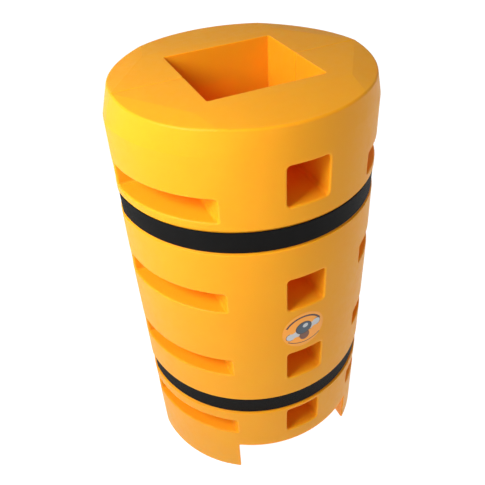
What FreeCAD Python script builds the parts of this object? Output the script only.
"""Wrap-around column protector: two hollow half shells round a square column, held by two straps.

Frame: +Z up, origin on the floor at the centre of the column opening. The seam between the halves
lies in the XZ plane, and the front half is on the -Y side. All sizes are in millimetres.
"""
import FreeCAD, Part

import math
import os

from FreeCAD import Vector

INCH = 25.4

# --- driving dimensions -------------------------------------------------------------------------
HEIGHT = 42 * INCH
MIDDLE_RADIUS = 12 * INCH        # outer wall between the straps
COLUMN_OPENING = 10 * INCH       # side of the square passage
STRAP_WIDTH = 2 * INCH
WALL = 0.2 * INCH                # moulded wall thickness
SEAM_GAP = 0.6                   # hairline between the two halves
CENTRE_SHIFT = 21.0              # each half's round wall is centred this far past the seam plane

# --- outer wall, from the floor up --------------------------------------------------------------
LOWER_RADIUS = MIDDLE_RADIUS - 0.8
TAPER_START = 600.0              # the middle wall leans in slightly above this height
MIDDLE_TOP_RADIUS = MIDDLE_RADIUS - 2.2
UPPER_RADIUS = MIDDLE_RADIUS - 3.1
UPPER_TOP_RADIUS = UPPER_RADIUS - 2.0
GROOVE_RADIUS = MIDDLE_RADIUS - 7.0
GROOVE_HALF = 28.6               # half the height of a strap groove's floor
GROOVE_DRAFT = 0.36              # rise of a groove's side for each millimetre outwards
GROOVE_LIP = 2.2
STRAP_HEIGHTS = {"upper": 819.0, "lower": 287.0}
FOOT_ROUND = 4.5
BAND_LOW = 1009.0                # where the wall starts to lean in below the rim
RIM_RADIUS = 277.0               # round outline of the top face, centred on the column
RIM_ROUND = 5.0

# --- top face -----------------------------------------------------------------------------------
CREST_X = 165.0                  # corner of the flat crest, outside the opening's corner
CREST_Y = 160.0
END_SLOPE = 6.5                  # degrees, falling away beside the seam ends
SIDE_SLOPE = 2.5                 # degrees, falling away in front of the opening

# --- openings in the wall -----------------------------------------------------------------------
OPENING_SHIFT = 7.0              # the openings' common centre, to the right of the passage's
WINDOW_HEIGHTS = (202.0, 425.0, 658.5, 935.0)
WINDOW_WIDTH = 92.0
WINDOW_HEIGHT = 90.0
WINDOW_CORNER = 9.0
POCKET_HEIGHTS = (195.0, 439.0, 653.0, 894.0)
POCKET_HEIGHT = 53.0
POCKET_START = 169.0             # distance of a pocket's end wall from the openings' centre
POCKET_CORNER = 6.0
NOTCH_HALF = POCKET_START        # clearance over the column's base plate
NOTCH_HEIGHT = 109.0
NOTCH_CORNER = 5.0
NOTCH_ROUND = 3.0                # round where the notch meets the outer wall
INNER_CORNER = 6.0               # round at the bottom of a window or pocket
OPENING_ROUND = 4.0              # round where a window or pocket meets the outer wall
PASSAGE_CORNER = 4.0
PASSAGE_ROUND = 1.5
SEAM_ROUND = 4.0                 # round down the seam inside the passage

# --- straps -------------------------------------------------------------------------------------
WEBBING = 2.2                    # webbing thickness
STRAP_INSIDE = GROOVE_RADIUS + 0.2
STRAP_OUTSIDE = STRAP_INSIDE + WEBBING
ROD = 2.6                        # ring wire diameter
ROD_SLACK = 0.3                  # space between the wire and the webbing round it
BAR_RADIUS = STRAP_OUTSIDE + ROD_SLACK + ROD / 2
TAIL_INSIDE = BAR_RADIUS + ROD / 2 + ROD_SLACK
TAIL_OUTSIDE = TAIL_INSIDE + WEBBING
RING_ANGLE = 35.0                # degrees round the rear half from +X
RING_LENGTH = 28.6               # between the centres of the ring's two bars
RING_HEIGHT = STRAP_WIDTH + ROD + 2 * ROD_SLACK   # between the centres of its cross pieces
RING_CORNER = 1.6
RAMP_BEND = 14.0                 # bends of the sewn fold where it comes down to the strap
FOLD_LENGTH = 60.0
TAIL_LENGTH = 200.0
TAIL_CORNER = 6.0
HINGE_GAP = 0.3
FASTENER_WIDTH = 46.0
LOOP_START = 30.0                # distances round the strap from the bar it turns back over
LOOP_END = 260.0
LOOP_THICKNESS = 1.6
HOOK_START = 60.0
HOOK_END = 192.0
HOOK_INSIDE = STRAP_OUTSIDE + LOOP_THICKNESS + 0.3

# --- sticker ------------------------------------------------------------------------------------
STICKER_HEIGHT = 542.0
STICKER_DIAMETER = 106.0
STICKER_THICKNESS = 0.3

FAR = 400.0                      # reach of a cutter past the outer wall
UP = Vector(0, 0, 1)
REAR_CENTRE = Vector(0, -CENTRE_SHIFT, 0)
OPENINGS_CENTRE = Vector(OPENING_SHIFT, 0, 0)
HALF_RING = math.degrees(math.asin(RING_LENGTH / 2 / BAR_RADIUS))
FOLD_BAR = RING_ANGLE - HALF_RING
TURN_BAR = RING_ANGLE + HALF_RING


# --- shared shapes ------------------------------------------------------------------------------
def block(x0, x1, y0, y1, z0, z1):
    """Box between two corners."""
    return Part.makeBox(x1 - x0, y1 - y0, z1 - z0, Vector(x0, y0, z0))


def polar(radius, degrees, centre=REAR_CENTRE):
    """Point at a radius and angle round a centre."""
    angle = math.radians(degrees)
    return centre + Vector(math.cos(angle), math.sin(angle), 0) * radius


def sector(centre, inner, outer, start, end, width):
    """Curved strip round a centre, between two angles, as tall as the width."""
    middle = (start + end) / 2
    outside = Part.Arc(*[polar(outer, a, centre) for a in (start, middle, end)]).toShape()
    inside = Part.Arc(*[polar(inner, a, centre) for a in (start, middle, end)]).toShape()
    first = Part.LineSegment(polar(inner, start, centre), polar(outer, start, centre)).toShape()
    last = Part.LineSegment(polar(inner, end, centre), polar(outer, end, centre)).toShape()
    face = Part.Face(Part.Wire(Part.__sortEdges__([outside, inside, first, last])))
    strip = face.extrude(UP * width)
    strip.translate(UP * (-width / 2))
    return strip


def arc_degrees(length, radius):
    """Angle that a length covers round a radius."""
    return math.degrees(length / radius)


def edge_points(edge, count=7):
    """Points spread along an edge."""
    first, last = edge.ParameterRange
    return [edge.valueAt(first + (last - first) * i / (count - 1)) for i in range(count)]


def rounded(body, radius, wanted):
    """Round every edge whose points all pass the test."""
    edges = [e for e in body.Edges if all(wanted(p) for p in edge_points(e))]
    return body.makeFillet(radius, edges)


def corner_arc(before, corner, after, radius):
    """Arc that rounds the corner between two straight lines."""
    back = (before - corner).normalize()
    ahead = (after - corner).normalize()
    half = back.getAngle(ahead) / 2
    run = radius / math.tan(half)
    middle = (back + ahead).normalize()
    centre = corner + middle * (radius / math.sin(half))
    return Part.Arc(corner + back * run, centre - middle * radius, corner + ahead * run)


def rounded_polygon(points, rounds):
    """Closed face through points; rounds holds a radius, or none, for each corner."""
    edges = []
    starts = []
    ends = []
    for i, (corner, radius) in enumerate(zip(points, rounds)):
        if radius:
            arc = corner_arc(points[i - 1], corner, points[(i + 1) % len(points)], radius)
            edges.append(arc.toShape())
            starts.append(arc.StartPoint)
            ends.append(arc.EndPoint)
        else:
            starts.append(corner)
            ends.append(corner)
    for i, end in enumerate(ends):
        edges.append(Part.LineSegment(end, starts[(i + 1) % len(starts)]).toShape())
    return Part.Face(Part.Wire(Part.__sortEdges__(edges)))


# --- half shells --------------------------------------------------------------------------------
def wall_section(inset):
    """Outer wall's section beside its own axis, up to the band below the rim. Rounded only outside."""
    floor = GROOVE_RADIUS - inset
    groove = GROOVE_HALF + inset * (math.hypot(1, GROOVE_DRAFT) - GROOVE_DRAFT)
    low = STRAP_HEIGHTS["lower"]
    high = STRAP_HEIGHTS["upper"]
    foot, lip = (None, None) if inset else (FOOT_ROUND, GROOVE_LIP)

    def mouth(radius):
        return groove + GROOVE_DRAFT * (radius - GROOVE_RADIUS)

    corners = [(0, inset, None),
               (LOWER_RADIUS - inset, inset, foot),
               (LOWER_RADIUS - inset, low - mouth(LOWER_RADIUS), lip),
               (floor, low - groove, lip),
               (floor, low + groove, lip),
               (MIDDLE_RADIUS - inset, low + mouth(MIDDLE_RADIUS), lip),
               (MIDDLE_RADIUS - inset, TAPER_START, None),
               (MIDDLE_TOP_RADIUS - inset, high - mouth(MIDDLE_TOP_RADIUS), lip),
               (floor, high - groove, lip),
               (floor, high + groove, lip),
               (UPPER_RADIUS - inset, high + mouth(UPPER_RADIUS), lip),
               (UPPER_TOP_RADIUS - inset, BAND_LOW, None),
               (0, BAND_LOW, None)]
    points = [Vector(x, 0, z) for x, z, _ in corners]
    return rounded_polygon(points, [radius for _, _, radius in corners])


def band_outline(radius, shift, inset, z):
    """Plan outline of a half: an arc closed by a line beside the seam plane."""
    seam_y = -(SEAM_GAP / 2 + inset)
    reach = math.sqrt(radius ** 2 - (shift - seam_y) ** 2)
    left = Vector(-reach, seam_y, z)
    right = Vector(reach, seam_y, z)
    front = Vector(0, shift - radius, z)
    return Part.Wire([Part.Arc(left, front, right).toShape(), Part.LineSegment(right, left).toShape()])


def slope_cutter(start, end, slope, top):
    """Wedge above a plane that falls outwards from the line between two crest corners."""
    a = Vector(start[0], start[1], top)
    b = Vector(end[0], end[1], top)
    along = (b - a).normalize()
    out = along.cross(UP)
    first = a - along * FAR
    fall = FAR * math.tan(math.radians(slope))
    points = [first,
              first + out * FAR - UP * fall,
              first + out * FAR + UP * FAR,
              first + UP * FAR,
              first]
    return Part.Face(Part.makePolygon(points)).extrude(along * (3 * FAR))


def envelope(inset):
    """Front half with no openings, inset all round by the given thickness."""
    seam_y = -(SEAM_GAP / 2 + inset)
    wall = wall_section(inset).revolve(Vector(0, 0, 0), UP, 360)
    wall.translate(Vector(0, CENTRE_SHIFT, 0))
    wall = wall.common(block(-FAR, FAR, -FAR, seam_y, 0, HEIGHT))
    low = band_outline(UPPER_TOP_RADIUS - inset, CENTRE_SHIFT, inset, BAND_LOW)
    high = band_outline(RIM_RADIUS - inset, 0, inset, HEIGHT - inset)
    body = wall.fuse(Part.makeLoft([low, high], True, True)).removeSplitter()
    corners = [(-RIM_RADIUS, 0), (-CREST_X, -CREST_Y), (CREST_X, -CREST_Y), (RIM_RADIUS, 0)]
    for start, end, slope in zip(corners, corners[1:], [END_SLOPE, SIDE_SLOPE, END_SLOPE]):
        body = body.cut(slope_cutter(start, end, slope, HEIGHT - inset))
    return body


def window_cutter(height, inset):
    """Tunnel from outside to just short of the column passage, with rounded corners."""
    half_x = WINDOW_WIDTH / 2 + inset
    half_z = WINDOW_HEIGHT / 2 + inset
    back = -(COLUMN_OPENING / 2 + WALL) + inset
    box = block(-half_x, half_x, -FAR, back, height - half_z, height + half_z)
    along_y = [e for e in box.Edges if abs(e.tangentAt(0).y) > 0.9]
    box = box.makeFillet(WINDOW_CORNER, along_y)
    return rounded(box, INNER_CORNER, lambda p: p.y > back - 0.01)


def pocket_cutter(side, height, inset):
    """Slot from the outer wall in to the seam, past the end wall at one side."""
    near = POCKET_START - inset
    half_z = POCKET_HEIGHT / 2 + inset
    back = -(SEAM_GAP / 2 + WALL) + inset
    x0, x1 = (near, FAR) if side > 0 else (-FAR, -near)
    box = block(x0, x1, -FAR, back, height - half_z, height + half_z)
    end_wall = [e for e in box.Edges if all(abs(abs(v.X) - near) < 0.01 for v in e.Vertexes)]
    along_y = [e for e in end_wall if abs(e.tangentAt(0).y) > 0.9]
    box = box.makeFillet(POCKET_CORNER, along_y)
    return rounded(box, INNER_CORNER, lambda p: p.y > back - 0.01 and abs(p.x) < FAR - 0.01)


def notch_cutter(inset):
    """Clearance over the column's base plate, open to the passage."""
    half = NOTCH_HALF + inset
    box = block(-half, half, -FAR, FAR, -FAR, NOTCH_HEIGHT + inset)
    top_edges = [e for e in box.Edges if abs(e.tangentAt(0).y) > 0.9 and e.Vertexes[0].Z > 0]
    return box.makeFillet(NOTCH_CORNER, top_edges)


def passage_cutter(inset):
    """Square passage that the column stands in."""
    half = COLUMN_OPENING / 2 + inset
    box = block(-half, half, -half, FAR, -FAR, HEIGHT + FAR)
    return rounded(box, PASSAGE_CORNER,
                   lambda p: abs(p.y + half) < 0.01 and abs(abs(p.x) - half) < 0.01)


def opened(body, inset):
    """Cut the passage, notch, windows and pockets out of a half."""
    cutters = [notch_cutter(inset)]
    cutters += [window_cutter(height, inset) for height in WINDOW_HEIGHTS]
    cutters += [pocket_cutter(side, height, inset) for side in (-1, 1) for height in POCKET_HEIGHTS]
    for cutter in cutters:
        body = body.cut(cutter.translated(OPENINGS_CENTRE))
    return body.cut(passage_cutter(inset))


def on_wall(point):
    """Whether a point lies on the outer wall, below the band."""
    return math.hypot(point.x, point.y - CENTRE_SHIFT) > UPPER_TOP_RADIUS - 0.5


def round_openings(body):
    """Round the windows, pockets and feet where they meet the outer wall."""
    for height in WINDOW_HEIGHTS:
        reach = WINDOW_HEIGHT / 2 + 0.01
        body = rounded(body, OPENING_ROUND,
                       lambda p: on_wall(p) and abs(p.z - height) < reach
                       and abs(p.x - OPENING_SHIFT) < WINDOW_WIDTH / 2 + 0.01)
    for height in POCKET_HEIGHTS:
        reach = POCKET_HEIGHT / 2 + 0.01
        for side in (-1, 1):
            body = rounded(body, OPENING_ROUND,
                           lambda p: on_wall(p) and abs(p.z - height) < reach
                           and side * (p.x - OPENING_SHIFT) > POCKET_START - 0.01
                           and p.y < -SEAM_GAP)
    return rounded(body, NOTCH_ROUND,
                   lambda p: on_wall(p) and FOOT_ROUND - 0.01 < p.z < NOTCH_HEIGHT + 0.01
                   and abs(p.x - OPENING_SHIFT) < NOTCH_HALF + 0.01)


def round_passage(body):
    """Soften the passage's edges at the top and down the seam."""
    half = COLUMN_OPENING / 2
    body = rounded(body, SEAM_ROUND,
                   lambda p: abs(abs(p.x) - half) < 0.01 and abs(p.y + SEAM_GAP / 2) < 0.01)
    return rounded(body, PASSAGE_ROUND,
                   lambda p: p.z > HEIGHT - 0.01 and p.y > -half - 0.01
                   and abs(p.x) < half + SEAM_ROUND)


def front_half():
    """One hollow moulding, with its openings and rounded edges."""
    body = envelope(0)
    rim_low = (BAND_LOW + HEIGHT) / 2
    body = rounded(body, RIM_ROUND,
                   lambda p: p.z > rim_low and math.hypot(p.x, p.y) > RIM_RADIUS - 1
                   and p.y < -SEAM_GAP)
    body = round_passage(round_openings(opened(body, 0)))
    return body.cut(opened(envelope(WALL), WALL))


# --- straps -------------------------------------------------------------------------------------
def strap_loop():
    """Webbing round both halves, open between the two bars of the ring."""
    front_centre = REAR_CENTRE * -1
    edges = []
    for radius in (STRAP_INSIDE, STRAP_OUTSIDE):
        bend = math.degrees(math.asin(CENTRE_SHIFT / radius))
        front = [polar(radius, a, front_centre) for a in (180 + bend, 270, 360 - bend)]
        short = [polar(radius, a) for a in (bend, FOLD_BAR / 2, FOLD_BAR)]
        long = [polar(radius, a) for a in (TURN_BAR, 120, 180 - bend)]
        edges += [Part.Arc(*points).toShape() for points in (front, short, long)]
    for angle in (FOLD_BAR, TURN_BAR):
        edges.append(Part.LineSegment(polar(STRAP_INSIDE, angle), polar(STRAP_OUTSIDE, angle)).toShape())
    face = Part.Face(Part.Wire(Part.__sortEdges__(edges)))
    loop = face.extrude(UP * STRAP_WIDTH)
    loop.translate(UP * (-STRAP_WIDTH / 2))
    return loop


def bar_turn(angle, toward):
    """Webbing's half turn round a ring bar, on the side toward the ring's middle."""
    inner = ROD / 2 + ROD_SLACK
    facing = angle + 90 * toward
    return sector(polar(BAR_RADIUS, angle), inner, inner + WEBBING, facing - 90, facing + 90, STRAP_WIDTH)


def sewn_fold():
    """Strap end's return layer: two bends down to the strap, then flat along it."""
    half = WEBBING / 2
    outer_path = TAIL_INSIDE + half
    inner_path = STRAP_OUTSIDE + half
    near = outer_path - RAMP_BEND
    far = inner_path + RAMP_BEND
    step = math.acos((near ** 2 + far ** 2 - (2 * RAMP_BEND) ** 2) / (2 * near * far))
    landing = FOLD_BAR - math.degrees(step)
    first = polar(near, FOLD_BAR)
    second = polar(far, landing)
    between = math.degrees(math.atan2(second.y - first.y, second.x - first.x))
    down = sector(first, RAMP_BEND - half, RAMP_BEND + half, between, FOLD_BAR, STRAP_WIDTH)
    level = sector(second, RAMP_BEND - half, RAMP_BEND + half, between + 180, landing + 180, STRAP_WIDTH)
    end = landing - arc_degrees(FOLD_LENGTH, inner_path)
    flat = sector(REAR_CENTRE, STRAP_OUTSIDE, STRAP_OUTSIDE + WEBBING, end, landing, STRAP_WIDTH)
    return [down, level, flat]


def strap():
    """One strap with its sewn fold and its turn back over the ring, centred on its own height."""
    pieces = [bar_turn(FOLD_BAR, 1), bar_turn(TURN_BAR, -1)] + sewn_fold()
    return strap_loop().multiFuse(pieces).removeSplitter()


def ring():
    """Rectangular ring of round wire, with rounded corners, lying flat against the strap."""
    out = polar(1, RING_ANGLE, Vector(0, 0, 0))
    across = polar(1, RING_ANGLE + 90, Vector(0, 0, 0))
    middle = REAR_CENTRE + out * (BAR_RADIUS * math.cos(math.radians(HALF_RING)))
    corners = [middle + across * (RING_LENGTH / 2 * u) + UP * (RING_HEIGHT / 2 * v)
               for u, v in ((1, 1), (-1, 1), (-1, -1), (1, -1))]
    path = rounded_polygon(corners, [RING_CORNER] * 4).OuterWire
    start = middle + across * (RING_LENGTH / 2)
    profile = Part.Wire(Part.Circle(start, UP, ROD / 2).toShape())
    return path.makePipeShell([profile], True, False)


def loop_patch():
    """Soft half of the fastener, sewn to the outside of the strap."""
    start = TURN_BAR + arc_degrees(LOOP_START, STRAP_OUTSIDE)
    end = TURN_BAR + arc_degrees(LOOP_END, STRAP_OUTSIDE)
    return sector(REAR_CENTRE, STRAP_OUTSIDE, STRAP_OUTSIDE + LOOP_THICKNESS, start, end, FASTENER_WIDTH)


def hook_patch():
    """Hooked half of the fastener, sewn to the inside of the tail."""
    start = TURN_BAR + arc_degrees(HOOK_START, TAIL_INSIDE)
    end = TURN_BAR + arc_degrees(HOOK_END, TAIL_INSIDE)
    return sector(REAR_CENTRE, HOOK_INSIDE, TAIL_INSIDE, start, end, FASTENER_WIDTH)


def tail():
    """Strap's free end, from just past the ring bar back over the strap."""
    start = TURN_BAR + arc_degrees(HINGE_GAP, TAIL_INSIDE)
    end = TURN_BAR + arc_degrees(TAIL_LENGTH, TAIL_INSIDE)
    strip = sector(REAR_CENTRE, TAIL_INSIDE, TAIL_OUTSIDE, start, end, STRAP_WIDTH)
    tip = polar(TAIL_INSIDE, end)
    return rounded(strip, TAIL_CORNER,
                   lambda p: math.hypot(p.x - tip.x, p.y - tip.y) < WEBBING + 0.01
                   and abs(abs(p.z) - STRAP_WIDTH / 2) < 0.01)


# --- sticker ------------------------------------------------------------------------------------
def sticker():
    """Round sticker on the front wall, between two windows."""
    skin = Part.makeCylinder(MIDDLE_RADIUS + STICKER_THICKNESS, STICKER_DIAMETER,
                             Vector(0, CENTRE_SHIFT, STICKER_HEIGHT - STICKER_DIAMETER / 2))
    inside = Part.makeCylinder(MIDDLE_RADIUS, STICKER_DIAMETER,
                               Vector(0, CENTRE_SHIFT, STICKER_HEIGHT - STICKER_DIAMETER / 2))
    outline = Part.makeCylinder(STICKER_DIAMETER / 2, FAR, Vector(0, -FAR, STICKER_HEIGHT), Vector(0, 1, 0))
    return skin.cut(inside).common(outline)


def all_parts():
    """Every named piece of the protector."""
    half = front_half()
    parts = {"front_half": half,
             "rear_half": half.rotated(Vector(0, 0, 0), UP, 180),
             "sticker": sticker()}
    pieces = {"strap": strap(),
              "strap_ring": ring(),
              "strap_loop_patch": loop_patch(),
              "strap_tail": tail(),
              "strap_hook_patch": hook_patch()}
    for level, height in STRAP_HEIGHTS.items():
        for name, shape in pieces.items():
            parts[level + "_" + name] = shape.translated(UP * height)
    return parts


os.makedirs("parts", exist_ok=True)
for part_name, part_shape in all_parts().items():
    solid = part_shape.Solids[0]
    solid.exportStep("parts/" + part_name + ".step")
